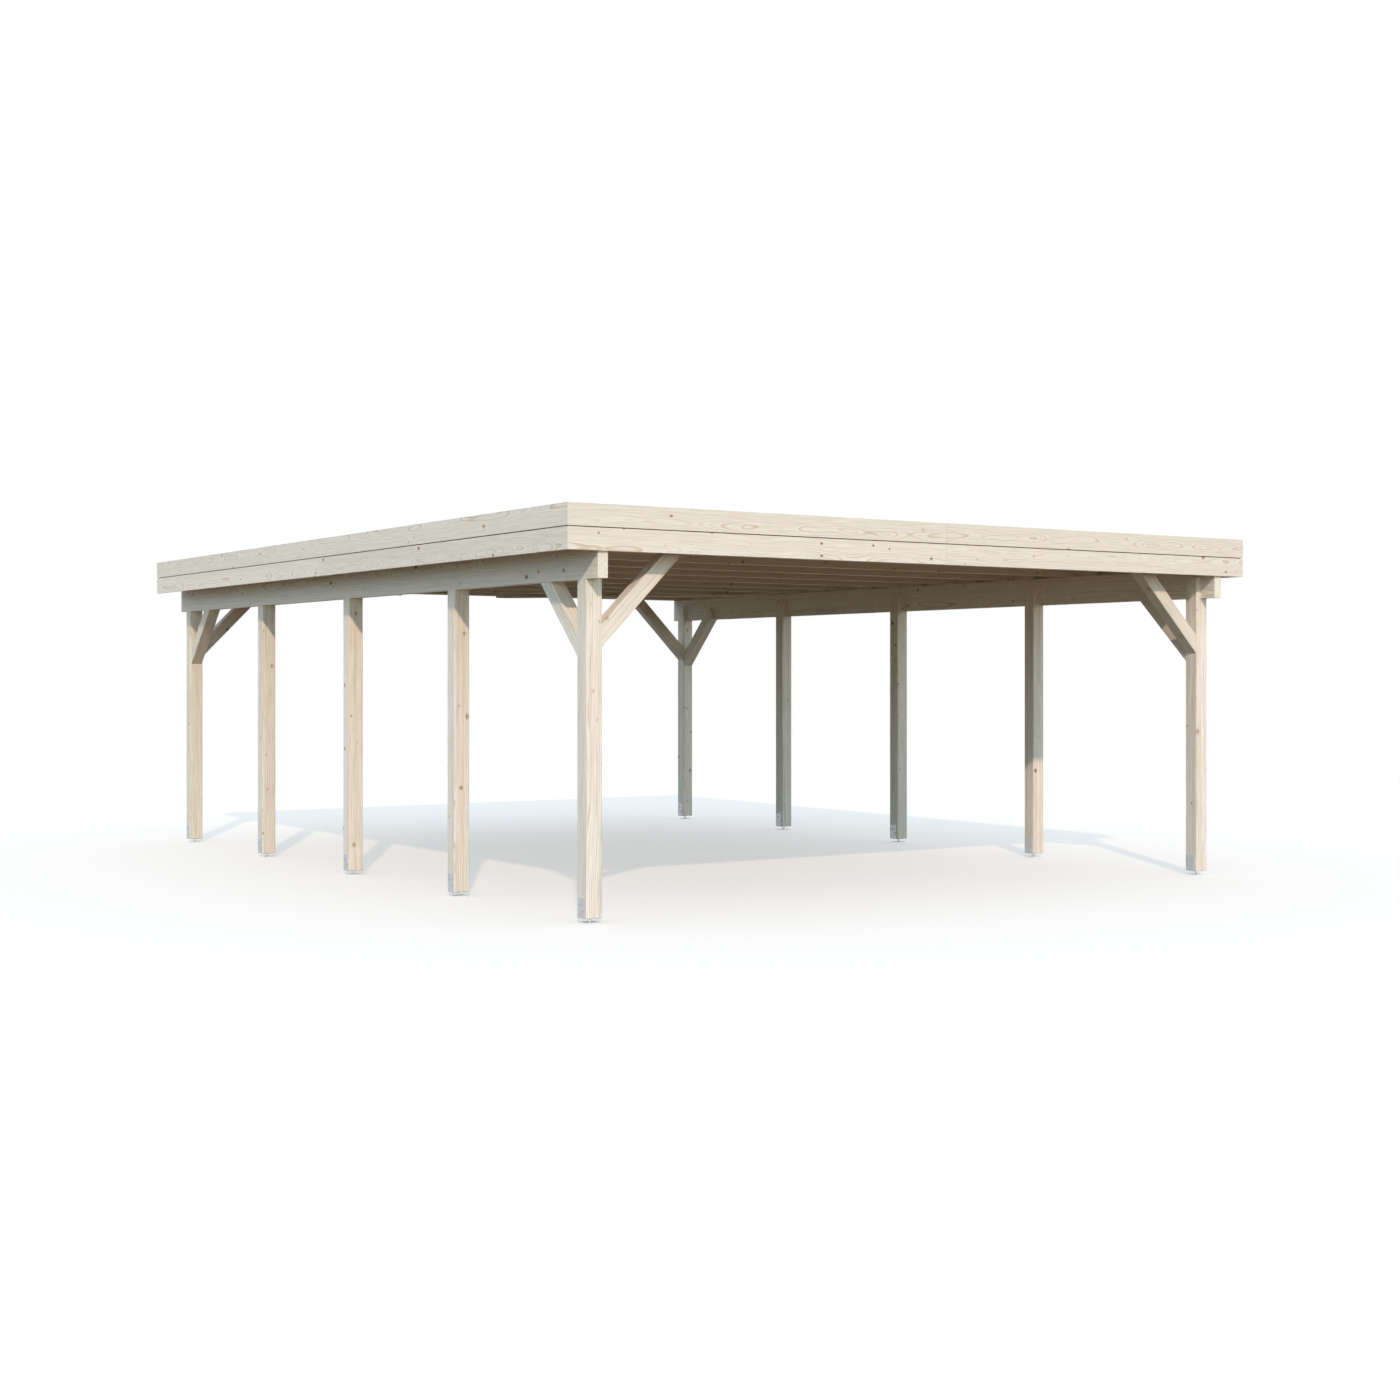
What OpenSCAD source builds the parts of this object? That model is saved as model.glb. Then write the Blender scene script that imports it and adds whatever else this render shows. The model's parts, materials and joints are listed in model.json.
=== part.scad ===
// Double carport with a flat roof: two rows of square posts on steel feet, a beam on each
// row, rafters across the beams, knee braces at the corner posts and a fascia of two boards
// on the front and both sides. Millimetres, +Z up, +Y to the rear, origin on the ground at
// the middle of the plan.

/* [Posts] */
// Width of a square post
post_side = 115; // [100:1:140]
// Chamfer along a post's four long edges
post_chamfer = 5; // [2:1:12]
// Width across both rows of posts, outside to outside
post_row_width = 5580; // [4000:10:6500]
// Length of a row of posts, outside to outside
post_row_length = 7390; // [6000:10:9000]
// Height of the post's tongue that laps the beam, above the beam's underside
tongue_h = 162; // [80:1:200]

/* [Feet] */
// Height of a foot, from the ground to the post's end grain
foot_h = 34; // [20:1:120]
// Side of the square base plate
foot_plate = 100; // [90:1:140]
// Thickness of the base plate
foot_plate_t = 5; // [3:1:8]
// Cut corner of the base plate and of the shoe's flanges
foot_corner = 4; // [1:1:10]
// Diameter of the stem between the base plate and the shoe
foot_stem_d = 20; // [16:1:30]
// Width of the steel strip that the shoe is bent from
shoe_w = 80; // [50:1:90]
// Thickness of the shoe's strip
shoe_t = 4; // [2:0.5:6]
// Height of the shoe's flanges above the post's end grain
shoe_flange_h = 128; // [60:1:180]
// Diameter of an anchor hole in the base plate
anchor_hole_d = 11; // [8:0.5:14]
// Distance between anchor holes along both sides
anchor_spacing = 70; // [60:1:74]

/* [Beams] */
// Thickness of a beam
beam_t = 72; // [60:1:85]
// Height of a beam
beam_h = 224; // [205:1:300]
// Height of the beams' underside above the ground
beam_underside = 2146; // [1950:1:2600]
// Length of beam that runs past the end posts
beam_overhang = 142; // [100:1:400]

/* [Rafters] */
// Thickness of a rafter
rafter_t = 50; // [38:1:70]
// Height of a rafter
rafter_h = 195; // [140:1:215]
// Length of rafter that runs past the beam's outer face
rafter_overhang = 208; // [100:1:400]

/* [Braces] */
// Thickness of a knee brace
brace_t = 100; // [60:1:110]
// Width of a knee brace, square to its length
brace_w = 100; // [80:1:120]
// Drop of a cross brace's tip below the rafters
cross_brace_drop = 648; // [400:1:900]
// Drop of a side brace's tip below the beam
side_brace_drop = 489; // [300:1:750]
// Rise of a side brace's cheek on the beam's inner face, at its lower corner
cheek_rise = 54; // [20:1:90]
// Thickness of a wind brace board
wind_brace_t = 18; // [10:1:22]
// Width of a wind brace board
wind_brace_w = 95; // [60:1:120]
// Distance between the two wind braces on the last rafter
wind_brace_gap = 1060; // [400:10:1600]

/* [Fascia] */
// Thickness of the fascia boards
fascia_t = 18; // [14:1:28]
// Height of one fascia board
fascia_board_h = 141; // [125:1:180]
// Open groove between the lower and the upper board
fascia_groove = 6; // [2:0.5:10]
// Drop of the fascia below the rafters
fascia_drop = 56; // [20:1:100]
// Gap where two boards meet end to end
butt_gap = 1.5; // [0.5:0.5:4]

/* [Roof] */
// Thickness of the roof deck's boards
deck_t = 18; // [16:1:28]
// Thickness of the roofing membrane
membrane_t = 3; // [1:0.5:6]

/* [Hidden] */
POSTS_PER_SIDE = 5;
RAFTERS = 11;
LEFT = -1;
RIGHT = 1;
FRONT = -1;
REAR = 1;
$fn = 48;

// Extra depth of a cut past the face that it opens
cut = 1;

post_inner_x = post_row_width / 2 - post_side;
post_center_x = (post_row_width - post_side) / 2;
post_line_y = (post_row_length - post_side) / 2;
post_pitch = 2 * post_line_y / (POSTS_PER_SIDE - 1);

beam_length = post_row_length + 2 * beam_overhang;
beam_inner_x = post_row_width / 2 - beam_t;

rafter_underside = beam_underside + beam_h;
rafter_length = post_row_width + 2 * rafter_overhang;
rafter_pitch = (beam_length - rafter_t) / (RAFTERS - 1);

// A brace lies at 45 degrees, so its width reaches this far across and up
brace_step = brace_w / sqrt(2);

roof_width = rafter_length + 2 * fascia_t;
roof_length = beam_length + 2 * fascia_t;
fascia_bottom = rafter_underside - fascia_drop;
fascia_upper_bottom = fascia_bottom + fascia_board_h + fascia_groove;
deck_bottom = rafter_underside + rafter_h;
deck_top = deck_bottom + deck_t;

spruce = [0.87, 0.80, 0.68];
spruce_shade = [0.74, 0.62, 0.45];
galvanised = [0.74, 0.75, 0.76];
bitumen = [0.22, 0.22, 0.23];

POST_NUMBERS = [1 : POSTS_PER_SIDE];
RAFTER_NUMBERS = [1 : RAFTERS];

function two_digits(n) = str(n < 10 ? "0" : "", n);
function side_name(side) = side == LEFT ? "left" : "right";
function end_name(end) = end == FRONT ? "front" : "rear";
function post_name(side, n) = str(side_name(side), "_post_", n);
function rafter_name(n) = str("rafter_", two_digits(n));
function corner_name(side, end) = str(end_name(end), "_", side_name(side));
function post_y(n) = -post_line_y + (n - 1) * post_pitch;
function rafter_y(n) = (n - 1) * rafter_pitch - (beam_length - rafter_t) / 2;

// Square with its four corners cut, centred
module chamfered_square(side, chamfer) {
    half = side / 2;
    short = half - chamfer;
    polygon([
        [-half, -short], [-short, -half], [short, -half], [half, -short],
        [half, short], [short, half], [-short, half], [-half, short]
    ]);
}

// Square post, halved at its top so that the beam sits on a shoulder beside a tongue
module post(side, n) {
    color(spruce) difference() {
        translate([side * post_center_x, post_y(n), foot_h])
            linear_extrude(beam_underside + tongue_h - foot_h)
                chamfered_square(post_side, post_chamfer);
        translate([side * (beam_inner_x + (beam_t + cut) / 2), post_y(n), beam_underside])
            linear_extrude(tongue_h + cut)
                square([beam_t + cut, post_side + 2 * cut], center = true);
    }
}

// Shoe bent from a strip: a seat under the post and a flange on each face across the row
module shoe() {
    half = shoe_w / 2;
    seat = foot_h - shoe_t;
    top = foot_h + shoe_flange_h;
    difference() {
        rotate([90, 0, 90]) linear_extrude(post_side + 2 * shoe_t, center = true) polygon([
            [-half, seat], [half, seat], [half, top - foot_corner], [half - foot_corner, top],
            [foot_corner - half, top], [-half, top - foot_corner]
        ]);
        translate([0, 0, foot_h]) linear_extrude(shoe_flange_h + cut)
            square([post_side, shoe_w + 2 * cut], center = true);
    }
}

// Steel foot: a drilled base plate, a stem and the shoe that holds the post
module foot() {
    difference() {
        linear_extrude(foot_plate_t) chamfered_square(foot_plate, foot_corner);
        for (x = [-1, 1], y = [-1, 1])
            translate([x, y, 0] * anchor_spacing / 2 - [0, 0, cut])
                cylinder(d = anchor_hole_d, h = foot_plate_t + 2 * cut);
    }
    cylinder(d = foot_stem_d, h = foot_h - shoe_t);
    shoe();
}

// Feet of one row of posts
module post_feet(side) {
    color(galvanised) for (n = POST_NUMBERS)
        translate([side * post_center_x, post_y(n), 0]) foot();
}

// Beam on the shoulders of one row of posts
module beam(side) {
    color(spruce) translate([side * (beam_inner_x + beam_t / 2), 0, beam_underside])
        linear_extrude(beam_h) square([beam_t, beam_length], center = true);
}

// Rafter across both beams, at a place along the roof
module rafter(y) {
    color(spruce_shade) translate([0, y, rafter_underside])
        linear_extrude(rafter_h) square([rafter_length, rafter_t], center = true);
}

// Knee brace from a corner post's inner face up to the tie rafter, cut to sit flat on both
module cross_brace(side, end) {
    tip = rafter_underside - cross_brace_drop;
    color(spruce) translate([0, end * post_line_y, 0]) rotate([90, 0, 0])
        linear_extrude(brace_t, center = true) polygon([
            [side * post_inner_x, tip],
            [side * (post_inner_x - cross_brace_drop), rafter_underside],
            [side * (post_inner_x - cross_brace_drop + 2 * brace_step), rafter_underside],
            [side * post_inner_x, tip + 2 * brace_step]
        ]);
}

// Knee brace from a corner post up to the beam: most of it seats under the beam, and a
// cheek with a square end laps the beam's inner face
module side_brace(side, end) {
    tip = beam_underside - side_brace_drop;
    reach = side_brace_drop + cheek_rise;
    face_y = post_line_y - post_side / 2;
    color(spruce) difference() {
        translate([side * post_center_x, 0, 0]) rotate([90, 0, 90])
            linear_extrude(brace_t, center = true) polygon([
                [end * face_y, tip],
                [end * (face_y - reach), tip + reach],
                [end * (face_y - reach + brace_step), tip + reach + brace_step],
                [end * face_y, tip + 2 * brace_step]
            ]);
        translate([side * (beam_inner_x + beam_t / 2), 0, beam_underside])
            linear_extrude(beam_h) square([beam_t, beam_length], center = true);
    }
}

// Flat board under the rafters, at 45 degrees from the last rafter to the beam
module wind_brace(side) {
    near = wind_brace_gap / 2;
    far = near + wind_brace_w * sqrt(2);
    rear_y = beam_length / 2;
    color(spruce_shade) translate([0, 0, rafter_underside - wind_brace_t])
        linear_extrude(wind_brace_t) polygon([
            [side * near, rear_y],
            [side * far, rear_y],
            [side * beam_inner_x, rear_y - (beam_inner_x - far)],
            [side * beam_inner_x, rear_y - (beam_inner_x - near)]
        ]);
}

// Front fascia course: two boards that meet at the middle, mitred at the corners
module front_fascia(z) {
    color(spruce) translate([0, 0, z]) linear_extrude(fascia_board_h)
        for (side = [LEFT, RIGHT]) polygon([
            [side * roof_width / 2, -roof_length / 2],
            [side * butt_gap / 2, -roof_length / 2],
            [side * butt_gap / 2, -beam_length / 2],
            [side * rafter_length / 2, -beam_length / 2]
        ]);
}

// Side fascia course: two boards that meet on the middle rafter, mitred at the front
module side_fascia(side, z) {
    color(spruce) translate([0, 0, z]) linear_extrude(fascia_board_h) {
        polygon([
            [side * roof_width / 2, -roof_length / 2],
            [side * roof_width / 2, -butt_gap / 2],
            [side * rafter_length / 2, -butt_gap / 2],
            [side * rafter_length / 2, -beam_length / 2]
        ]);
        polygon([
            [side * roof_width / 2, butt_gap / 2],
            [side * roof_width / 2, roof_length / 2],
            [side * rafter_length / 2, roof_length / 2],
            [side * rafter_length / 2, butt_gap / 2]
        ]);
    }
}

// Board on the last rafter, between the side fascias
module rear_board() {
    color(spruce) translate([0, (beam_length + fascia_t) / 2, rafter_underside])
        linear_extrude(rafter_h + deck_t) square([rafter_length, fascia_t], center = true);
}

// Boarded deck on the rafters, inside the fascia
module roof_deck() {
    color(spruce_shade) translate([0, 0, deck_bottom])
        linear_extrude(deck_t) square([rafter_length, beam_length], center = true);
}

// Membrane on the deck, which runs on over the rear board to shed the rain
module roof_membrane() {
    color(bitumen) translate([0, fascia_t / 2, deck_top])
        linear_extrude(membrane_t) square([rafter_length, beam_length + fascia_t], center = true);
}

for (side = [LEFT, RIGHT], n = POST_NUMBERS)
    post(side, n);
post_feet(LEFT);  // left_post_feet
post_feet(RIGHT);  // right_post_feet
beam(LEFT);  // left_beam
beam(RIGHT);  // right_beam
for (n = RAFTER_NUMBERS)
    rafter(rafter_y(n));
rafter(-post_line_y);  // front_tie_rafter
rafter(post_line_y);  // rear_tie_rafter
for (side = [LEFT, RIGHT], end = [FRONT, REAR]) {
    cross_brace(side, end);
    side_brace(side, end);
}
wind_brace(LEFT);  // left_wind_brace
wind_brace(RIGHT);  // right_wind_brace
front_fascia(fascia_bottom);  // front_lower_fascia
front_fascia(fascia_upper_bottom);  // front_upper_fascia
side_fascia(LEFT, fascia_bottom);  // left_lower_fascia
side_fascia(LEFT, fascia_upper_bottom);  // left_upper_fascia
side_fascia(RIGHT, fascia_bottom);  // right_lower_fascia
side_fascia(RIGHT, fascia_upper_bottom);  // right_upper_fascia
rear_board();
roof_deck();
roof_membrane();
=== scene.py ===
"""Dress the carport: planed spruce timbers, galvanised post shoes and a felted roof.

Metres, +Z up, +Y to the rear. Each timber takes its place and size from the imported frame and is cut
as a carpenter cuts it. It also carries the lie of its grain in the log it came from, so that growth
rings, knots and end grain run on round its edges.
"""

from __future__ import annotations

import json
import logging
import math
import random
from collections.abc import Callable, Iterator, Sequence
from contextlib import contextmanager
from dataclasses import dataclass, field
from enum import Enum, auto
from typing import Union

import bmesh
import bpy
from bpy.types import Material, Node, NodeSocket, NodeTree, Object
from mathutils import Matrix, Vector

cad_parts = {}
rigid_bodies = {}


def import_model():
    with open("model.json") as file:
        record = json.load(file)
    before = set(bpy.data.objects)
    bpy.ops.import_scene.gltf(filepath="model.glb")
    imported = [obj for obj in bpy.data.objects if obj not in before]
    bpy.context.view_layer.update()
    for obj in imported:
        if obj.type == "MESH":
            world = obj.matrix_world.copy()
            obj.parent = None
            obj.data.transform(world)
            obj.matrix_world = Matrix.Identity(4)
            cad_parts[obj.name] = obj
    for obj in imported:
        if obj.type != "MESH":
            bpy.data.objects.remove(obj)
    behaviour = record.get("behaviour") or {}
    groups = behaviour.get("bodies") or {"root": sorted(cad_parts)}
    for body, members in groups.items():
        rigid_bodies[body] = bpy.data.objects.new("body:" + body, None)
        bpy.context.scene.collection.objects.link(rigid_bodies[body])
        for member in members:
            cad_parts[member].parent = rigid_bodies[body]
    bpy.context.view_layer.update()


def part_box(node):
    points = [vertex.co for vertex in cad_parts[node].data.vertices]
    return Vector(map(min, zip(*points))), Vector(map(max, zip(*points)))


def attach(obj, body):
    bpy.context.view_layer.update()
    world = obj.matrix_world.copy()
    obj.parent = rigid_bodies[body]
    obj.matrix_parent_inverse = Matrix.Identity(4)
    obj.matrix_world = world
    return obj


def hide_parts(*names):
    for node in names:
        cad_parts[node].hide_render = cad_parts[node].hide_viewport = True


LOG = logging.getLogger("carport")
BODY = "root"

# Places that lie closer than this are one place.
NEAR = 1e-5
# A unit vector runs along an axis where its part along that axis is greater than this.
FACING = 0.9
# Length of a cut at 45 degrees across a timber of unit width.
MITRE = math.sqrt(2.0)

X, Y, Z = range(3)
ALONG_X = Vector((1.0, 0.0, 0.0))
ALONG_Y = Vector((0.0, 1.0, 0.0))
ALONG_Z = Vector((0.0, 0.0, 1.0))

Triple = tuple[float, float, float]
Rgb = Triple
Span = tuple[float, float]
Test = Callable[[Vector, Vector], bool]
Term = Union[NodeSocket, float, Sequence[float]]
Setting = tuple[str, str]


class Named(Enum):
    """An option that the frame's nodes spell in small letters."""

    @property
    def word(self) -> str:
        """The option as the nodes spell it."""
        return self.name.lower()


class Side(Named):
    """A long side of the carport; its value is the side's sign along X."""

    LEFT = -1
    RIGHT = 1


class End(Named):
    """An end of the carport; its value is the end's sign along Y."""

    FRONT = -1
    REAR = 1


class Course(Named):
    """A course of fascia boards."""

    LOWER = auto()
    UPPER = auto()


class Element(Enum):
    """What a hand operation picks on a mesh."""

    FACE = "FACE"
    EDGE = "EDGE"


class Turn(Enum):
    """Least turn, in degrees, of an edge that is broken; a mitre turns by 45."""

    SHARP = 50.0
    MITRED = 40.0


class Mark(Enum):
    """What a piece carries on its corners for its finish to read."""

    GRAIN = "grain"
    TONE = "tone"
    # Share of painted shade, which darkens the fascia's groove and the wood behind the fascia.
    ROUGH = "rough"


class Slot(Enum):
    """The record's material slots."""

    POST = "post_timber"
    BEAM = "beam_timber"
    RAFTER = "rafter_timber"
    BRACE = "brace_timber"
    FASCIA = "fascia_timber"
    DECK = "deck_boards"
    FELT = "roofing_membrane"
    ZINC = "galvanised_steel"


@dataclass(frozen=True)
class Box:
    """A box in the carport's frame, by its lowest and highest corner."""

    low: Vector
    high: Vector

    @classmethod
    def of(cls, node: str) -> Box:
        """The box of one of the frame's nodes."""
        return cls(*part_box(node))

    @classmethod
    def between(cls, across: Span, deep: Span, tall: Span) -> Box:
        """The box between its ends along X, Y and Z, each pair given in either order."""
        spans = (across, deep, tall)
        return cls(Vector([min(span) for span in spans]), Vector([max(span) for span in spans]))

    @property
    def size(self) -> Vector:
        """The box's lengths along X, Y and Z."""
        return self.high - self.low

    @property
    def centre(self) -> Vector:
        """The box's middle."""
        return (self.low + self.high) / 2

    def span(self, axis: int) -> Span:
        """Both ends of the box along one axis."""
        return self.low[axis], self.high[axis]

    def face(self, axis: int, sign: int) -> float:
        """Where the box ends along one axis, on the side that the sign names."""
        return self.high[axis] if sign > 0 else self.low[axis]

    def meets(self, place: Vector, axis: int) -> bool:
        """Whether a place lies on one of the box's two faces across an axis."""
        return min(abs(place[axis] - end) for end in self.span(axis)) < NEAR


def everywhere(_place: Vector, _direction: Vector) -> bool:
    """The test that every face and edge passes."""
    return True


class Bench:
    """Hand operations on a piece; each one leaves Blender in object mode."""

    SMOOTH_TURN = 35.0

    @staticmethod
    def clear() -> None:
        """Deselect everything."""
        bpy.ops.object.select_all(action="DESELECT")

    @staticmethod
    def take(*pieces: Object) -> None:
        """Select these pieces alone, the first of them active."""
        Bench.clear()
        for piece in pieces:
            piece.select_set(True)
        bpy.context.view_layer.objects.active = pieces[0]

    @staticmethod
    def name(piece: Object, name: str) -> None:
        """Name a piece and its mesh."""
        piece.name = name
        piece.data.name = name

    @staticmethod
    def settle(name: str) -> Object:
        """Name the primitive just added and put its place and size into its mesh.

        Args:
            name: The piece's name.

        Returns:
            The piece, at the origin, unturned and unscaled.
        """
        piece = bpy.context.object
        Bench.name(piece, name)
        bpy.ops.object.transform_apply(location=True, rotation=True, scale=True)
        return piece

    @staticmethod
    def block(name: str, box: Box) -> Object:
        """Add a cube that fills a box.

        Args:
            name: The piece's name.
            box: The box it fills.

        Returns:
            The new piece.
        """
        Bench.clear()
        bpy.ops.mesh.primitive_cube_add(size=1.0, location=box.centre)
        bpy.context.object.scale = box.size
        return Bench.settle(name)

    @staticmethod
    def rod(name: str, start: Vector, stop: Vector, radius: float, sides: int) -> Object:
        """Add a cylinder between two points.

        Args:
            name: The piece's name.
            start: Middle of its first end.
            stop: Middle of its other end.
            radius: Radius to its corners.
            sides: Number of sides.

        Returns:
            The new piece.
        """
        Bench.clear()
        run = stop - start
        bpy.ops.mesh.primitive_cylinder_add(
            vertices=sides, radius=radius, depth=run.length, location=(start + stop) / 2,
            rotation=run.to_track_quat("Z", "Y").to_euler())
        return Bench.settle(name)

    @staticmethod
    @contextmanager
    def picking(piece: Object, element: Element, wanted: Test) -> Iterator[None]:
        """Hold a piece in edit mode, with the faces or edges selected that pass a test.

        Args:
            piece: The piece to edit.
            element: Faces or edges.
            wanted: Test on a face's middle and normal, or on an edge's middle and direction.

        Returns:
            A context that goes back to object mode when it ends.
        """
        Bench.take(piece)
        bpy.ops.object.mode_set(mode="EDIT")
        bpy.ops.mesh.select_mode(type=element.value)
        bpy.ops.mesh.select_all(action="DESELECT")
        shape = bmesh.from_edit_mesh(piece.data)
        if element is Element.FACE:
            for face in shape.faces:
                face.select_set(wanted(face.calc_center_median(), face.normal))
        else:
            for edge in shape.edges:
                start, stop = (corner.co for corner in edge.verts)
                edge.select_set(wanted((start + stop) / 2, (stop - start).normalized()))
        bmesh.update_edit_mesh(piece.data)
        yield
        bpy.ops.object.mode_set(mode="OBJECT")

    @staticmethod
    def saw(piece: Object, point: Sequence[float], away: Sequence[float]) -> None:
        """Cut off what lies beyond the plane through a point, on its away side, and close the cut."""
        with Bench.picking(piece, Element.FACE, everywhere):
            bpy.ops.mesh.bisect(plane_co=point, plane_no=away, use_fill=True, clear_outer=True)

    @staticmethod
    def score(piece: Object, point: Sequence[float], normal: Sequence[float]) -> None:
        """Draw an edge round a piece where the plane through a point meets it."""
        with Bench.picking(piece, Element.FACE, everywhere):
            bpy.ops.mesh.bisect(plane_co=point, plane_no=normal)

    @staticmethod
    def raise_faces(piece: Object, wanted: Test, rise: Sequence[float], spread: float = 1.0) -> None:
        """Extrude the faces that pass a test.

        Args:
            piece: The piece to shape.
            wanted: Test on a face's middle and normal.
            rise: How far the faces travel.
            spread: Scale of the faces at the end of their travel.
        """
        with Bench.picking(piece, Element.FACE, wanted):
            bpy.ops.mesh.extrude_region_move(TRANSFORM_OT_translate={"value": rise})
            if spread != 1.0:
                bpy.ops.transform.resize(value=(spread, spread, spread))

    @staticmethod
    def bevel_edges(piece: Object, wanted: Test, width: float, facets: int = 1) -> None:
        """Chamfer the edges that pass a test, or round them with more than one facet."""
        with Bench.picking(piece, Element.EDGE, wanted):
            bpy.ops.mesh.bevel(offset=width, offset_type="OFFSET", segments=facets, affect="EDGES")

    @staticmethod
    def ease(piece: Object, width: float, facets: int = 2, turn: Turn = Turn.SHARP) -> None:
        """Break a piece's sharp edges with an applied bevel.

        Args:
            piece: The piece to shape.
            width: Width of the broken edge.
            facets: Number of facets across it.
            turn: Which edges are broken.
        """
        Bench.take(piece)
        bevel = piece.modifiers.new("arris", "BEVEL")
        bevel.width = width
        bevel.segments = facets
        bevel.limit_method = "ANGLE"
        bevel.angle_limit = math.radians(turn.value)
        bpy.ops.object.modifier_apply(modifier=bevel.name)

    @staticmethod
    def carve(piece: Object, cutter: Object) -> None:
        """Take a cutter's shape out of a piece, and throw the cutter away.

        Args:
            piece: The piece that keeps its place.
            cutter: The shape to take out.
        """
        Bench.take(piece)
        cut = piece.modifiers.new("cut", "BOOLEAN")
        cut.operation = "DIFFERENCE"
        cut.object = cutter
        bpy.ops.object.modifier_apply(modifier=cut.name)
        Bench.discard(cutter)

    @staticmethod
    def copy(piece: Object, name: str, shift: Vector) -> Object:
        """Copy a piece with its own mesh.

        Args:
            piece: The piece to copy.
            name: The copy's name.
            shift: How far the copy stands from the piece.

        Returns:
            The copy.
        """
        twin = piece.copy()
        twin.data = piece.data.copy()
        Bench.name(twin, name)
        twin.data.transform(Matrix.Translation(shift))
        bpy.context.scene.collection.objects.link(twin)
        return twin

    @staticmethod
    def join(name: str, pieces: Sequence[Object]) -> Object:
        """Join pieces into one.

        Args:
            name: The joined piece's name.
            pieces: The pieces, of which the first takes in the others.

        Returns:
            The joined piece.
        """
        Bench.take(*pieces)
        bpy.ops.object.join()
        Bench.name(pieces[0], name)
        return pieces[0]

    @staticmethod
    def smooth(piece: Object) -> None:
        """Shade a piece smoothly, but for its sharp edges."""
        Bench.take(piece)
        bpy.ops.object.shade_smooth_by_angle(angle=math.radians(Bench.SMOOTH_TURN))

    @staticmethod
    def discard(piece: Object) -> None:
        """Remove a piece and its mesh."""
        mesh = piece.data
        bpy.data.objects.remove(piece)
        bpy.data.meshes.remove(mesh)


def write_on_corners(piece: Object, mark: Mark, number: Callable[[Vector], float]) -> None:
    """Write one number on each corner of a piece.

    Args:
        piece: The piece.
        mark: What the number stands for.
        number: The number at a corner's place.
    """
    attributes = piece.data.attributes
    written = attributes.get(mark.value) or attributes.new(mark.value, "FLOAT", "POINT")
    written.data.foreach_set("value", [number(corner.co) for corner in piece.data.vertices])


def paint_shade(piece: Object, wanted: Callable[[Vector], bool], depth: float) -> None:
    """Paint shade on the corners that pass a test, to a depth from 0 to 1, as a dark brown colour."""
    write_on_corners(piece, Mark.ROUGH, lambda place: depth if wanted(place) else 0.0)


@dataclass(frozen=True)
class Pith:
    """Where the pith of the log may lie from a kind of timber.

    Attributes:
        depth: Least and greatest distance from the timber's middle.
        aside: Least and greatest shift to one side.
    """

    depth: Span
    aside: Span


@dataclass(frozen=True)
class Grain:
    """The lie of one timber in the log it was sawn from.

    Attributes:
        along: Unit vector down the timber's length.
        heart: Unit vector, square to it, from the timber's middle towards the pith.
        depth: Distance from the timber's middle to the pith.
        aside: How far the pith stands to one side of that line.
        taper: How much nearer the pith comes per metre of length.
        start: The timber's place along the log, which keeps two timbers' knots apart.
        tone: Lightness against the other timbers, about zero.
    """

    along: Vector
    heart: Vector
    depth: float
    aside: float
    taper: float
    start: float
    tone: float

    def mark(self, piece: Object, middle: Vector) -> None:
        """Write the lie of the grain on a piece's corners.

        Args:
            piece: The finished timber.
            middle: The timber's middle.
        """
        across = self.along.cross(self.heart)
        lie: list[float] = []
        for corner in piece.data.vertices:
            place = corner.co - middle
            length = place.dot(self.along)
            lie.append(length + self.start)
            lie.append(self.depth - place.dot(self.heart) - self.taper * length)
            lie.append(place.dot(across) - self.aside)
        written = piece.data.attributes.new(Mark.GRAIN.value, "FLOAT_VECTOR", "POINT")
        written.data.foreach_set("vector", lie)
        write_on_corners(piece, Mark.TONE, lambda _: self.tone)
        write_on_corners(piece, Mark.ROUGH, lambda _: 0.0)


@dataclass
class Sawmill:
    """Deals out timbers, seeded, so that every run dresses the carport alike.

    Attributes:
        seed: Seed of the draws.
        step: Distance along the log from one timber to the next.
        taper: Greatest taper either way.
        tone: Greatest difference in lightness either way.
    """

    seed: int
    step: float = 11.7
    taper: float = 0.012
    tone: float = 0.045

    def __post_init__(self) -> None:
        """Open the mill."""
        self._draw = random.Random(self.seed)
        self._start = 0.0

    def cut(self, along: Vector, heart: Vector, pith: Pith) -> Grain:
        """Deal one timber.

        Args:
            along: Direction of its length.
            heart: Direction of the pith.
            pith: Where the pith may lie.

        Returns:
            The timber's lie in its log.
        """
        self._start += self.step
        draw = self._draw
        return Grain(
            along=along.normalized(), heart=heart.normalized(),
            depth=draw.uniform(*pith.depth), aside=draw.uniform(*pith.aside) * self.sign(),
            taper=draw.uniform(-self.taper, self.taper), start=self._start + draw.random(),
            tone=draw.uniform(-self.tone, self.tone))

    def sign(self) -> int:
        """Draw one of the two ways round."""
        return self._draw.choice((-1, 1))


@dataclass(frozen=True)
class Mottle:
    """A noise in a finish.

    Attributes:
        cycles: Cycles per metre along each axis; in wood the first one runs along the log.
        detail: Octaves of detail.
    """

    cycles: Triple
    detail: float


@dataclass(frozen=True)
class Ramp:
    """A smooth passage from one number to another as a value rises.

    Attributes:
        start: The value where the passage starts.
        stop: The value where it ends.
        first: The number up to its start.
        last: The number from its end.
    """

    start: float
    stop: float
    first: float = 0.0
    last: float = 1.0


@dataclass(frozen=True)
class Relief:
    """The fine relief of a surface, by its strength and its depth."""

    strength: float
    depth: float


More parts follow.
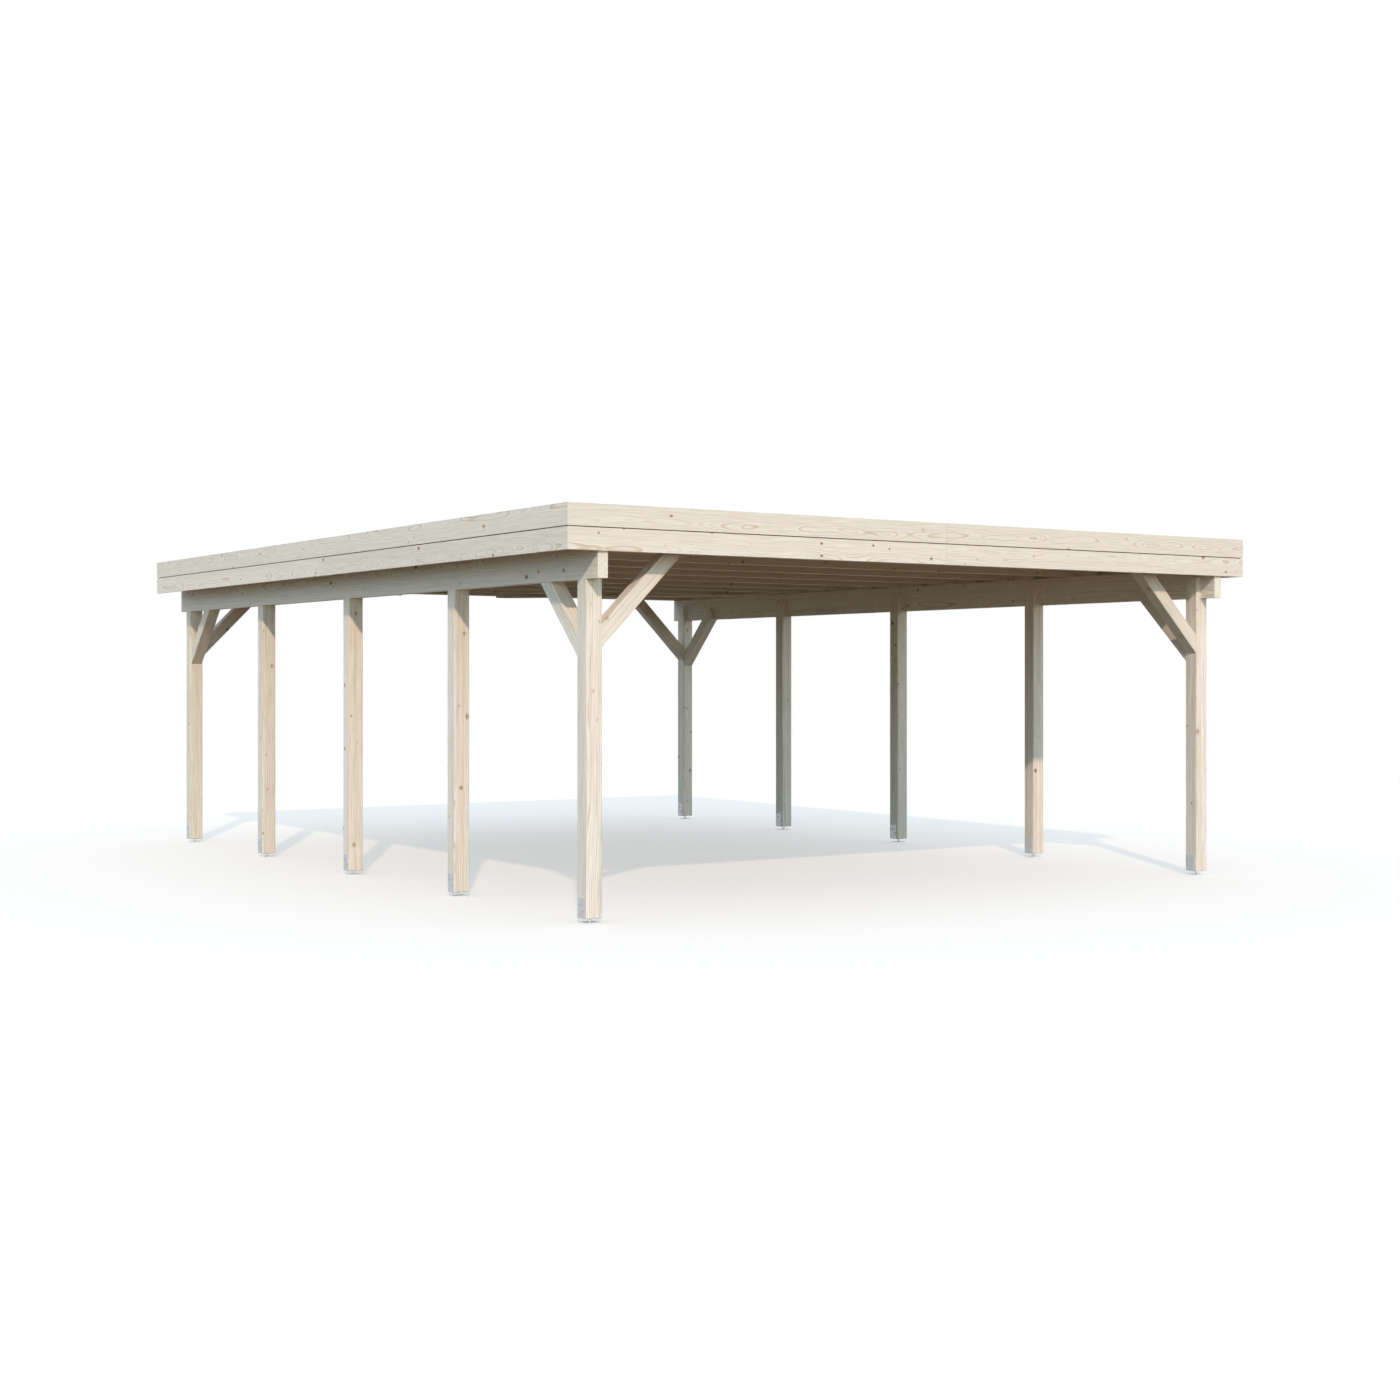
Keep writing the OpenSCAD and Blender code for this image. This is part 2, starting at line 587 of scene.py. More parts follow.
class ShaderSketch:
    """A node tree, drawn step by step."""

    # Places of the colour mixer's sockets, which share their names with its other sockets.
    MIX_SHARE, MIX_FIRST, MIX_SECOND = 0, 6, 7
    MIX_RESULT = 2

    def __init__(self, tree: NodeTree) -> None:
        """Start on an empty tree.

        Args:
            tree: The node tree of a material or world.
        """
        self._nodes = tree.nodes
        self._links = tree.links
        self._nodes.clear()

    def add(self, kind: str, label: str, *terms: Term, setting: Setting | None = None,
            **named: Term) -> Node:
        """Add one node and feed it.

        Args:
            kind: The node's type, without its common prefix.
            label: What the step does.
            terms: What its first sockets take, in order.
            setting: An option of the node, set first because it opens the sockets.
            named: What its other sockets take, by name, with _ for a space.

        Returns:
            The node.
        """
        node = self._nodes.new("ShaderNode" + kind)
        node.label = label
        if setting:
            setattr(node, *setting)
        for socket, term in zip(node.inputs, terms):
            self.feed(socket, term)
        for name, term in named.items():
            self.feed(node.inputs[name.replace("_", " ")], term)
        return node

    def feed(self, socket: NodeSocket, term: Term) -> None:
        """Link a socket to an output, or set its number or colour."""
        if isinstance(term, NodeSocket):
            self._links.new(term, socket)
        elif socket.type == "RGBA":
            socket.default_value = (*term, 1.0)
        else:
            socket.default_value = term

    def corner_mark(self, mark: Mark) -> Node:
        """Read what a piece carries on its corners, as a number or a vector."""
        return self.add("Attribute", mark.value, setting=("attribute_name", mark.value))

    def maths(self, label: str, operation: str, *terms: Term) -> NodeSocket:
        """Work out one number from its terms."""
        return self.add("Math", label, *terms, setting=("operation", operation)).outputs[0]

    def vector(self, label: str, operation: str, *terms: Term) -> Node:
        """Work out one vector or number from its terms; the node has an output for each."""
        return self.add("VectorMath", label, *terms, setting=("operation", operation))

    def split(self, label: str, vector: NodeSocket) -> list[NodeSocket]:
        """Take a vector's three numbers apart."""
        return list(self.add("SeparateXYZ", label, vector).outputs)

    def gather(self, label: str, *terms: Term) -> NodeSocket:
        """Put up to three numbers together as a vector."""
        return self.add("CombineXYZ", label, *terms).outputs[0]

    def noise(self, label: str, place: NodeSocket, mottle: Mottle) -> Node:
        """Lay noise over a place; the node's outputs are a number and a colour."""
        spot = self.vector(f"place of the {label}", "MULTIPLY", place, mottle.cycles).outputs[0]
        return self.add("TexNoise", label, Vector=spot, Scale=1.0, Detail=mottle.detail)

    def step(self, label: str, value: Term, ramp: Ramp) -> NodeSocket:
        """Pass smoothly along a ramp as a value rises."""
        node = self.add("MapRange", label, setting=("interpolation_type", "SMOOTHSTEP"), Value=value,
                        From_Min=ramp.start, From_Max=ramp.stop, To_Min=ramp.first, To_Max=ramp.last)
        return node.outputs[0]

    def mix(self, label: str, share: Term, first: Term, second: Term) -> NodeSocket:
        """Mix two colours.

        Args:
            label: What the result is.
            share: Share of the second.
            first: First colour.
            second: Second colour.

        Returns:
            The mixed colour.
        """
        node = self.add("Mix", label, setting=("data_type", "RGBA"))
        self.feed(node.inputs[self.MIX_SHARE], share)
        self.feed(node.inputs[self.MIX_FIRST], first)
        self.feed(node.inputs[self.MIX_SECOND], second)
        return node.outputs[self.MIX_RESULT]

    def mix_shaders(self, label: str, share: Term, first: NodeSocket, second: NodeSocket) -> NodeSocket:
        """Mix two shaders, by the share of the second."""
        return self.add("MixShader", label, share, first, second).outputs[0]

    def lighten(self, label: str, colour: NodeSocket, light: NodeSocket) -> NodeSocket:
        """Make a colour lighter or darker, by a number about one."""
        return self.add("HueSaturation", label, Value=light, Color=colour).outputs[0]

    def seen(self) -> NodeSocket:
        """One for a ray that shows the background: from the camera, a mirror or glass."""
        path = self.add("LightPath", "ray")
        mirrored = self.maths("seen or mirrored", "MAXIMUM", path.outputs["Is Camera Ray"],
                              path.outputs["Is Glossy Ray"])
        return self.maths("seen at all", "MAXIMUM", mirrored, path.outputs["Is Transmission Ray"])

    def surface(self, label: str, relief: Relief, height: NodeSocket, **looks: Term) -> None:
        """End a material in a surface with fine relief.

        Args:
            label: What the surface is.
            relief: Strength and depth of the relief.
            height: Its height.
            looks: What the surface's own sockets take, by name, with _ for a space.
        """
        bump = self.add("Bump", f"relief of the {label}", Strength=relief.strength,
                        Distance=relief.depth, Height=height)
        shader = self.add("BsdfPrincipled", label, Normal=bump.outputs[0], **looks)
        self.end("Material", shader.outputs[0])

    def end(self, kind: str, shader: NodeSocket) -> None:
        """Link a shader to the tree's output, of a material or a world."""
        self._links.new(shader, self.add("Output" + kind, "output").inputs["Surface"])


def new_material(name: str) -> tuple[Material, ShaderSketch]:
    """Start a material.

    Args:
        name: The material's name.

    Returns:
        The material and the sketch of its nodes.
    """
    material = bpy.data.materials.new(name)
    material.use_nodes = True
    return material, ShaderSketch(material.node_tree)


@dataclass(frozen=True)
class Rings:
    """The growth rings of a log.

    Attributes:
        spacing: Spacing of the rings.
        swing: How far a ring shifts in wet and dry years, in rings.
        years: The run of wet and dry years, along the log and out from the pith.
        summer: Rise of the late wood through the year.
        winter: Its end.
        strength: Strength of the late wood in bad and good years.
    """

    spacing: float = 0.0042
    swing: float = 2.2
    years: Mottle = Mottle((0.15, 55.0, 0.0), 1.0)
    summer: Ramp = Ramp(0.45, 0.88)
    winter: Ramp = Ramp(0.88, 1.0, 1.0, 0.0)
    strength: Ramp = Ramp(0.1, 0.9, 0.25, 1.0)

    def draw(self, sketch: ShaderSketch, length: NodeSocket, radius: NodeSocket,
             push: NodeSocket) -> NodeSocket:
        """Draw the rings.

        Args:
            sketch: The material's sketch.
            length: Place along the log.
            radius: Distance from the pith.
            push: How far a knot pushes the rings aside, in rings.

        Returns:
            The late wood, from 0 to 1.
        """
        place = sketch.gather("place of the years", length, radius, 0.0)
        years = sketch.noise("wet and dry years", place, self.years).outputs[0]
        count = sketch.maths("rings from the pith", "DIVIDE", radius, self.spacing)
        count = sketch.maths("uneven rings", "MULTIPLY_ADD", years, self.swing, count)
        count = sketch.maths("rings round knots", "ADD", count, push)
        season = sketch.maths("season", "FRACT", count)
        late = sketch.maths("late wood of the year", "MULTIPLY",
                            sketch.step("summer", season, self.summer),
                            sketch.step("winter", season, self.winter))
        chance = sketch.add("TexWhiteNoise", "good and bad years", setting=("noise_dimensions", "1D"),
                            W=sketch.maths("year", "FLOOR", count))
        strength = sketch.step("strength of the year", chance.outputs["Value"], self.strength)
        return sketch.maths("late wood", "MULTIPLY", late, strength)


@dataclass(frozen=True)
class Knots:
    """The knots of a log; core, halo and push run from a knot's middle, at 0, past its edge, at 1.

    Attributes:
        cell: Spacing of the knots.
        radius: Radius of the largest knots.
        least: Radius of the smallest ones, as a share of that.
        squeeze: Scale of the pattern along each axis, the first of them along the log.
        core: The dark core.
        depth: Darkness of weak and strong knots.
        halo: The tinted wood round a knot.
        push: How far the rings are pushed aside, in rings.
    """

    cell: float = 0.115
    radius: float = 0.0135
    least: float = 0.25
    squeeze: Triple = (0.75, 1.0, 1.0)
    core: Ramp = Ramp(0.70, 1.05, 1.0, 0.0)
    depth: Ramp = Ramp(0.15, 0.95, 0.30, 0.95)
    halo: Ramp = Ramp(0.7, 1.9, 0.60, 0.0)
    push: Ramp = Ramp(0.8, 2.4, 1.3, 0.0)

    def draw(self, sketch: ShaderSketch, lie: NodeSocket) -> tuple[NodeSocket, NodeSocket, NodeSocket]:
        """Draw the knots, scattered through the log.

        Args:
            sketch: The material's sketch.
            lie: Place in the log.

        Returns:
            The knots' dark core, the tinted wood round it, and how far rings are pushed aside.
        """
        place = sketch.vector("place, drawn out along the log", "MULTIPLY", lie, self.squeeze)
        cells = sketch.add("TexVoronoi", "knots", Vector=place.outputs[0], Scale=1.0 / self.cell)
        girth, strength, _ = sketch.split("knots' girth and strength", cells.outputs["Color"])
        away = sketch.maths("distance from the knot", "MULTIPLY", cells.outputs["Distance"], self.cell)
        radius = sketch.maths("knot's radius", "MULTIPLY_ADD", girth, (1.0 - self.least) * self.radius,
                              self.least * self.radius)
        ratio = sketch.maths("place in the knot", "DIVIDE", away, radius)
        core = sketch.maths("cores", "MULTIPLY", sketch.step("knot's core", ratio, self.core),
                            sketch.step("knot's depth", strength, self.depth))
        return core, sketch.step("halos", ratio, self.halo), sketch.step("push", ratio, self.push)


@dataclass(frozen=True)
class SpruceFinish:
    """Planed spruce with growth rings, knots, streaks and fibre.

    Attributes:
        name: The material's name.
        early: Colour of the early wood.
        late: Colour of the late wood.
        streak: Colour of the darker streaks.
        halo: Colour of the wood round a knot.
        knot: Colour of a knot.
        rough: Colour of the painted shade in the fascia's groove and on the wood behind the fascia.
        rings: The growth rings.
        knots: The knots.
        wander: How far the pith wanders along the log.
        bends: The bends of the pith.
        figure: Strength of the late wood.
        streaks: Strength of the streaks.
        streak_run: The run of the streaks.
        streak_edge: Where in that noise they start and where they are full.
        dashes: Strength of the short dark dashes between them.
        dash_run: The run of the dashes.
        dash_edge: Where in that noise they start and where they are full.
        fibre: Strength of the fibre.
        fibre_run: The run of the fibre.
        late_rise: How far the late wood stands out, in fibres.
        relief: The planed relief.
        roughness: Roughness of the smoothest wood.
        fibre_roughness: What the fibre adds to it.
        sheen: Strength of the reflection.
    """

    name: str
    early: Rgb = (0.825, 0.760, 0.664)
    late: Rgb = (0.600, 0.440, 0.300)
    streak: Rgb = (0.785, 0.660, 0.535)
    halo: Rgb = (0.600, 0.410, 0.250)
    knot: Rgb = (0.120, 0.070, 0.040)
    # Painted shade: a dark brown that stands in for the shade in the fascia's groove.
    rough: Rgb = (0.240, 0.130, 0.065)
    rings: Rings = Rings()
    knots: Knots = Knots()
    wander: float = 0.060
    bends: Mottle = Mottle((1.3, 2.5, 2.5), 2.0)
    figure: float = 0.80
    streaks: float = 0.50
    streak_run: Mottle = Mottle((0.5, 62.0, 62.0), 3.0)
    streak_edge: Span = (0.40, 0.72)
    dashes: float = 0.12
    dash_run: Mottle = Mottle((5.0, 150.0, 150.0), 2.0)
    dash_edge: Span = (0.30, 0.70)
    fibre: float = 0.12
    fibre_run: Mottle = Mottle((8.0, 430.0, 430.0), 1.0)
    late_rise: float = 0.6
    relief: Relief = Relief(strength=0.22, depth=0.0005)
    roughness: float = 0.48
    fibre_roughness: float = 0.20
    sheen: float = 0.22

    def material(self) -> Material:
        """Draw the wood's nodes.

        Returns:
            The material.
        """
        material, sketch = new_material(self.name)
        lie = sketch.corner_mark(Mark.GRAIN).outputs["Vector"]
        bends = sketch.noise("bends of the pith", lie, self.bends).outputs[1]
        bent = sketch.vector("bent lie", "MULTIPLY_ADD", bends, (0.0, self.wander, self.wander),
                             lie).outputs[0]
        length, depth, aside = sketch.split("bent lie's numbers", bent)
        section = sketch.gather("place in the log's section", 0.0, depth, aside)
        radius = sketch.vector("distance from the pith", "LENGTH", section).outputs["Value"]
        core, halo, push = self.knots.draw(sketch, lie)
        late = self.rings.draw(sketch, length, radius, push)
        fibre = sketch.noise("fibre", lie, self.fibre_run).outputs[0]

        figure = sketch.maths("figure", "MULTIPLY", late, self.figure)
        colour = sketch.mix("early and late wood", figure, self.early, self.late)
        streaks = sketch.noise("streaks", bent, self.streak_run).outputs[0]
        dark = sketch.step("darker streaks", streaks, Ramp(*self.streak_edge, last=self.streaks))
        colour = sketch.mix("streaked wood", dark, colour, self.streak)
        colour = sketch.mix("wood round the knots", halo, colour, self.halo)
        colour = sketch.mix("wood and knots", core, colour, self.knot)
        # Painted shade, which darkens the groove's edges and the wood seen through it behind the fascia.
        painted_shade_share = sketch.corner_mark(Mark.ROUGH).outputs["Fac"]
        colour = sketch.mix("wood and painted shade", painted_shade_share, colour, self.rough)
        colour = sketch.lighten("lightness of the wood", colour, self._lightness(sketch, lie, fibre))

        raised = sketch.maths("raised late wood", "MULTIPLY_ADD", late, self.late_rise, fibre)
        rough = sketch.maths("roughness", "MULTIPLY_ADD", fibre, self.fibre_roughness, self.roughness)
        sketch.surface("spruce", self.relief, raised, Base_Color=colour, Roughness=rough,
                       Specular_IOR_Level=self.sheen)
        return material

    def _lightness(self, sketch: ShaderSketch, lie: NodeSocket, fibre: NodeSocket) -> NodeSocket:
        """Draw the lightness of the dashes, the fibre and the timber as a whole.

        Args:
            sketch: The material's sketch.
            lie: Place in the log.
            fibre: The fibre, from 0 to 1.

        Returns:
            The lightness, about one.
        """
        dashes = sketch.noise("dashes", lie, self.dash_run).outputs[0]
        swing = self.dashes / 2
        light = sketch.step("dashes' lightness", dashes, Ramp(*self.dash_edge, 1.0 - swing, 1.0 + swing))
        light = sketch.maths("fibre's lightness", "MULTIPLY_ADD", fibre, self.fibre, light)
        tone = sketch.corner_mark(Mark.TONE).outputs["Fac"]
        light = sketch.maths("timber's lightness", "ADD", light, tone)
        return sketch.maths("lightness", "SUBTRACT", light, self.fibre / 2)


@dataclass(frozen=True)
class ZincFinish:
    """Hot-dip galvanised steel with spangle and a dull bloom, whiter on the parts below the shoe.

    Attributes:
        name: The material's name.
        bright: Colour of the brightest facets.
        dull: Colour of the dullest facets.
        white: Colour of the plate and stem.
        shoe_base: Height of the shoe's underside.
        shoe_edge: Height over which the colours change there.
        spangle: Size of the facets.
        facets: Weight of the facets against the bloom.
        bloom: The bloom.
        dullness: Where in facets and bloom the zinc turns dull.
        relief: The dipped relief.
        roughness: Roughness of the bright facets.
        dull_roughness: What the dull ones add to it.
        metallic: How far the zinc reflects as clean metal does.
    """

    name: str
    bright: Rgb = (0.61, 0.635, 0.66)
    dull: Rgb = (0.57, 0.595, 0.62)
    white: Rgb = (0.92, 0.92, 0.93)
    shoe_base: float = 0.030
    shoe_edge: float = 0.002
    spangle: float = 0.011
    facets: float = 0.55
    bloom: Mottle = Mottle((22.0, 22.0, 22.0), 3.0)
    dullness: Ramp = Ramp(0.35, 1.15)
    relief: Relief = Relief(strength=0.06, depth=0.0006)
    roughness: float = 0.40
    dull_roughness: float = 0.10
    metallic: float = 0.6

    def material(self) -> Material:
        """Draw the zinc's nodes.

        Returns:
            The material.
        """
        material, sketch = new_material(self.name)
        place = sketch.add("TexCoord", "place").outputs["Object"]
        crystals = sketch.add("TexVoronoi", "spangle", Vector=place, Scale=1.0 / self.spangle)
        facet = sketch.split("facets", crystals.outputs["Color"])[0]
        bloom = sketch.noise("bloom", place, self.bloom).outputs[0]
        share = sketch.maths("facet and bloom", "MULTIPLY_ADD", facet, self.facets, bloom)
        share = sketch.step("dullness", share, self.dullness)
        colour = sketch.mix("zinc", share, self.bright, self.dull)
        height = sketch.split("place's numbers", place)[Z]
        below = sketch.step("below the shoe", height,
                            Ramp(self.shoe_base - self.shoe_edge, self.shoe_base, 1.0, 0.0))
        colour = sketch.mix("shoe and plate", below, colour, self.white)
        rough = sketch.maths("roughness", "MULTIPLY_ADD", share, self.dull_roughness, self.roughness)
        sketch.surface("zinc", self.relief, bloom, Base_Color=colour, Roughness=rough,
                       Metallic=self.metallic)
        return material


@dataclass(frozen=True)
class FeltFinish:
    """Mineral roofing felt: dark, matt and grained with crushed slate, each strip of its own tone.

    Attributes:
        name: The material's name.
        pale: Colour of the slate grains.
        dark: Colour of the felt between them.
        grit: The grit of the slate.
        grains: Where in the grit the grains show.
        stain: The weather stain.
        stained: How much of the grains shows from the darkest stain to the lightest.
        relief: The grains' relief.
        roughness: Roughness of the felt.
        sheen: Strength of the reflection.
    """

    name: str
    pale: Rgb = (0.115, 0.118, 0.125)
    dark: Rgb = (0.030, 0.031, 0.034)
    grit: Mottle = Mottle((620.0, 620.0, 620.0), 1.0)
    grains: Ramp = Ramp(0.38, 0.66)
    stain: Mottle = Mottle((0.9, 0.6, 0.9), 4.0)
    stained: Ramp = Ramp(0.25, 0.75, 0.55, 1.0)
    relief: Relief = Relief(strength=0.45, depth=0.0012)
    roughness: float = 0.92
    sheen: float = 0.25

    def material(self) -> Material:
        """Draw the felt's nodes.

        Returns:
            The material.
        """
        material, sketch = new_material(self.name)
        place = sketch.add("TexCoord", "place").outputs["Object"]
        grit = sketch.noise("slate grit", place, self.grit).outputs[0]
        stain = sketch.noise("weather stain", place, self.stain).outputs[0]
        share = sketch.maths("stained grains", "MULTIPLY", sketch.step("grains", grit, self.grains),
                             sketch.step("stain", stain, self.stained))
        colour = sketch.mix("felt and grains", share, self.dark, self.pale)
        tone = sketch.corner_mark(Mark.TONE).outputs["Fac"]
        colour = sketch.lighten("lightness of the felt", colour, tone)
        sketch.surface("felt", self.relief, grit, Base_Color=colour, Roughness=self.roughness,
                       Specular_IOR_Level=self.sheen)
        return material


@dataclass
class Workshop:
    """What all the trades share.

    Attributes:
        mill: Where the timbers come from.
        finishes: The materials by slot.
        fitted: The pieces fitted so far.
    """

    mill: Sawmill
    finishes: dict[Slot, Material]
    fitted: list[Object] = field(default_factory=list)

    def grain(self, piece: Object, box: Box, along: Vector, heart: Vector, pith: Pith) -> None:
        """Draw the lie of a finished timber in its log and mark its grain."""
        self.mill.cut(along, heart, pith).mark(piece, box.centre)

    def fit(self, piece: Object, slot: Slot, *nodes: str) -> None:
        """Give a finished piece its material and hand it over to the frame.

        Args:
            piece: The finished piece, in place.
            slot: The slot that it takes its finish from.
            nodes: The nodes that it stands for, none where it adds to them.
        """
        piece.data.materials.clear()
        piece.data.materials.append(self.finishes[slot])
        if nodes:
            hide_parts(*nodes)
        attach(piece, BODY)
        self.fitted.append(piece)
        LOG.info("%s: %d faces, %s", piece.name, len(piece.data.polygons), slot.value)


@dataclass
class PostRow:
    """The posts of one side, each halved at the top round its beam.

    Attributes:
        shop: The workshop.
        side: The row's side.
        count: Number of posts.
        chamfer: Width of the chamfers on the long edges.
        arris: Width of the other edges, broken.
        pith: Where the pith lies.
    """

    shop: Workshop
    side: Side
    count: int = 5
    chamfer: float = 0.005
    arris: float = 0.001
    pith: Pith = Pith(depth=(0.100, 0.135), aside=(0.0, 0.03))

    def build(self) -> None:
        """Model the row's first post, copy it down the row and dress each copy."""
        first = Box.of(f"{self.side.word}_post_1")
        pattern = self._halved_post(first)
        mill = self.shop.mill
        for number in range(1, self.count + 1):
            node = f"{self.side.word}_post_{number}"
            box = Box.of(node)
            post = Bench.copy(pattern, f"{node}_timber", box.low - first.low)
            heart = Vector((mill.sign(), mill.sign(), 0.0))
            self.shop.grain(post, box, ALONG_Z, heart, self.pith)
            self.shop.fit(post, Slot.POST, node)
        Bench.discard(pattern)

    def _halved_post(self, box: Box) -> Object:
        """Model a post: a trunk up to the beam, with a tongue beside it.

        Args:
            box: The post's box, tongue included.

        Returns:
            The post.
        """
        beam = Box.of(f"{self.side.word}_beam")
        shoulder = beam.low.z
        seat = beam.face(X, -self.side.value)
        post = Bench.block("post", Box.between(box.span(X), box.span(Y), (box.low.z, shoulder)))

        def is_tongue(middle: Vector, normal: Vector) -> bool:
            """The strip of the trunk's top that stands inside the beam."""
            return normal.z > FACING and (middle.x - seat) * self.side.value < 0

        def is_corner(middle: Vector, direction: Vector) -> bool:
            """An upright edge at one of the post's corners."""
            return abs(direction.z) > FACING and box.meets(middle, X) and box.meets(middle, Y)

        Bench.score(post, (seat, 0.0, 0.0), ALONG_X)
        Bench.raise_faces(post, is_tongue, (0.0, 0.0, box.high.z - shoulder))
        Bench.bevel_edges(post, is_corner, self.chamfer)
        Bench.ease(post, self.arris, facets=1)
        return post


@dataclass
class PostFeet:
    """The steel feet of one row: a drilled base plate, a stem and a shoe with two flanges each.

    Attributes:
        shop: The workshop.
        side: The row's side.
        count: Number of feet.
        plate: Width of the base plate.
        plate_thickness: Its thickness.
        corner: Radius of the plate's and the flanges' corners.
        corner_facets: Facets of the plate's corners.
        burr: Width of the steel's broken edges.
        stem_radius: Radius of the stem.
        stem_sides: Number of its sides.
        weld: Width and height of the welds at its ends.
        strip: Width of the strip that the shoe is folded from.
        bend: Outer radius of its folds.
        bend_facets: Facets of the folds and of the flanges' corners.
        hole_radius: Radius of the anchor holes.
        hole_spacing: Spacing of the anchor holes.
        round_sides: Number of sides of the holes and washers.
        screw_radius: Radius of a screw's head to its corners.
        screw_height: Height of the head.
        screw_sides: Number of its sides.
        screw_edge: Width of its broken edges.
        washer_radius: Radius of a screw's washer.
        washer_height: Height of the washer.
        screw_places: The screws' places on a flange, from its middle and from the post's end.
    """

    shop: Workshop
    side: Side
    count: int = 5
    plate: float = 0.100
    plate_thickness: float = 0.005
    corner: float = 0.004
    corner_facets: int = 3
    burr: float = 0.0004
    stem_radius: float = 0.010
    stem_sides: int = 32
    weld: float = 0.003
    strip: float = 0.080
    bend: float = 0.003
    bend_facets: int = 4
    hole_radius: float = 0.0055
    hole_spacing: float = 0.070
    round_sides: int = 24
    screw_radius: float = 0.0065
    screw_height: float = 0.0045
    screw_sides: int = 6
    screw_edge: float = 0.0007
    washer_radius: float = 0.0105
    washer_height: float = 0.0016
    screw_places: tuple[Span, ...] = ((-0.018, 0.090), (0.018, 0.048))

    def build(self) -> None:
        """Model the first foot and its screws, and copy them down the row."""
        row = self.side.word
        node = f"{row}_post_feet"
        feet = Box.of(node)
        first = Box.of(f"{row}_post_1")
        thickness = (feet.size.x - first.size.x) / 2
        middle = first.centre.y
        seat = Box.between(feet.span(X), (middle - self.strip / 2, middle + self.strip / 2),
                           (first.low.z - thickness, first.low.z))
        parts = [self._base_plate(first), self._stem(seat), self._shoe(first, seat, feet)]
        foot = Bench.join("foot", parts)
        Bench.smooth(foot)
        screws = self._screws(first, feet)
        shifts = [Box.of(f"{row}_post_{number}").low - first.low for number in range(1, self.count + 1)]
        shoes = [Bench.copy(foot, "foot_copy", shift) for shift in shifts]
        heads = [Bench.copy(screws, "screws_copy", shift) for shift in shifts]
        Bench.discard(foot)
        Bench.discard(screws)
        self.shop.fit(Bench.join(f"{row}_post_shoes", shoes), Slot.ZINC, node)
        self.shop.fit(Bench.join(f"{row}_shoe_screws", heads), Slot.ZINC)

    def _base_plate(self, post: Box) -> Object:
        """Model the base plate with its rounded corners and anchor holes.

        Args:
            post: The post above it.

        Returns:
            The plate.
        """
        middle = post.centre
        half = self.plate / 2
        plate = Bench.block("base_plate", Box.between(
            (middle.x - half, middle.x + half), (middle.y - half, middle.y + half),
            (0.0, self.plate_thickness)))
        Bench.bevel_edges(plate, lambda _, direction: abs(direction.z) > FACING, self.corner,
                          self.corner_facets)
        drills: list[Object] = []
        reach = self.hole_spacing / 2
        for across in (-reach, reach):
            for deep in (-reach, reach):
                spot = Vector((middle.x + across, middle.y + deep, 0.0))
                below = spot - ALONG_Z * self.plate_thickness
                above = spot + ALONG_Z * (2 * self.plate_thickness)
                drills.append(Bench.rod("drill", below, above, self.hole_radius, self.round_sides))
        Bench.carve(plate, Bench.join("drills", drills))
        Bench.ease(plate, self.burr, facets=1)
        return plate

    def _stem(self, seat: Box) -> Object:
        """Model the stem between plate and shoe, flared at both ends by its weld.

        Args:
            seat: The shoe's bottom.

        Returns:
            The stem.
        """
        base = Vector((seat.centre.x, seat.centre.y, self.plate_thickness))
        top = Vector((seat.centre.x, seat.centre.y, seat.low.z))
        lift = ALONG_Z * self.weld
        stem = Bench.rod("stem", base + lift, top - lift, self.stem_radius, self.stem_sides)
        spread = 1.0 + self.weld / self.stem_radius
        Bench.raise_faces(stem, lambda _, normal: normal.z > FACING, lift, spread)
        Bench.raise_faces(stem, lambda _, normal: normal.z < -FACING, -lift, spread)
        return stem

    def _shoe(self, post: Box, seat: Box, feet: Box) -> Object:
        """Model the shoe: a strip folded up against two faces of the post.

        Args:
            post: The post that stands in it.
            seat: The shoe's bottom.
            feet: The row's box, which ends at the flanges.

        Returns:
            The shoe.
        """
        shoe = Bench.block("shoe", seat)
        for fold in post.span(X):
            Bench.score(shoe, (fold, 0.0, 0.0), ALONG_X)

        def is_flange(middle: Vector, normal: Vector) -> bool:
            """A strip of the seat's top outside the post."""
            return normal.z > FACING and not post.low.x < middle.x < post.high.x

        def is_fold(middle: Vector, direction: Vector) -> bool:
            """A lower outer edge, where the strip is bent."""
            low = abs(middle.z - seat.low.z) < NEAR
            return abs(direction.y) > FACING and low and seat.meets(middle, X)

        def is_tip(middle: Vector, direction: Vector) -> bool:
            """An edge across the thickness, at a flange's upper corner."""
            return abs(direction.x) > FACING and abs(middle.z - feet.high.z) < NEAR

        Bench.raise_faces(shoe, is_flange, (0.0, 0.0, feet.high.z - post.low.z))
        Bench.bevel_edges(shoe, is_fold, self.bend, self.bend_facets)
        Bench.bevel_edges(shoe, is_tip, self.corner, self.bend_facets)
        Bench.ease(shoe, self.burr, facets=1)
        return shoe

    def _screws(self, post: Box, feet: Box) -> Object:
        """Model the hexagon-headed screws through both flanges.

        Args:
            post: The post that they hold.
            feet: The row's box, which ends at the flanges.

        Returns:
            The screws of one foot, joined.
        """
        screws: list[Object] = []
        for sign in (-1, 1):
            out = ALONG_X * sign
            for aside, height in self.screw_places:
                spot = Vector((feet.face(X, sign), post.centre.y + aside * sign, post.low.z + height))
                crown = spot + out * self.washer_height
                tip = crown + out * self.screw_height
                washer = Bench.rod("washer", spot, crown, self.washer_radius, self.round_sides)
                head = Bench.rod("head", crown, tip, self.screw_radius, self.screw_sides)
                Bench.ease(washer, self.burr, facets=1)
                Bench.ease(head, self.screw_edge)
                screws += [washer, head]
        return Bench.join("screws", screws)


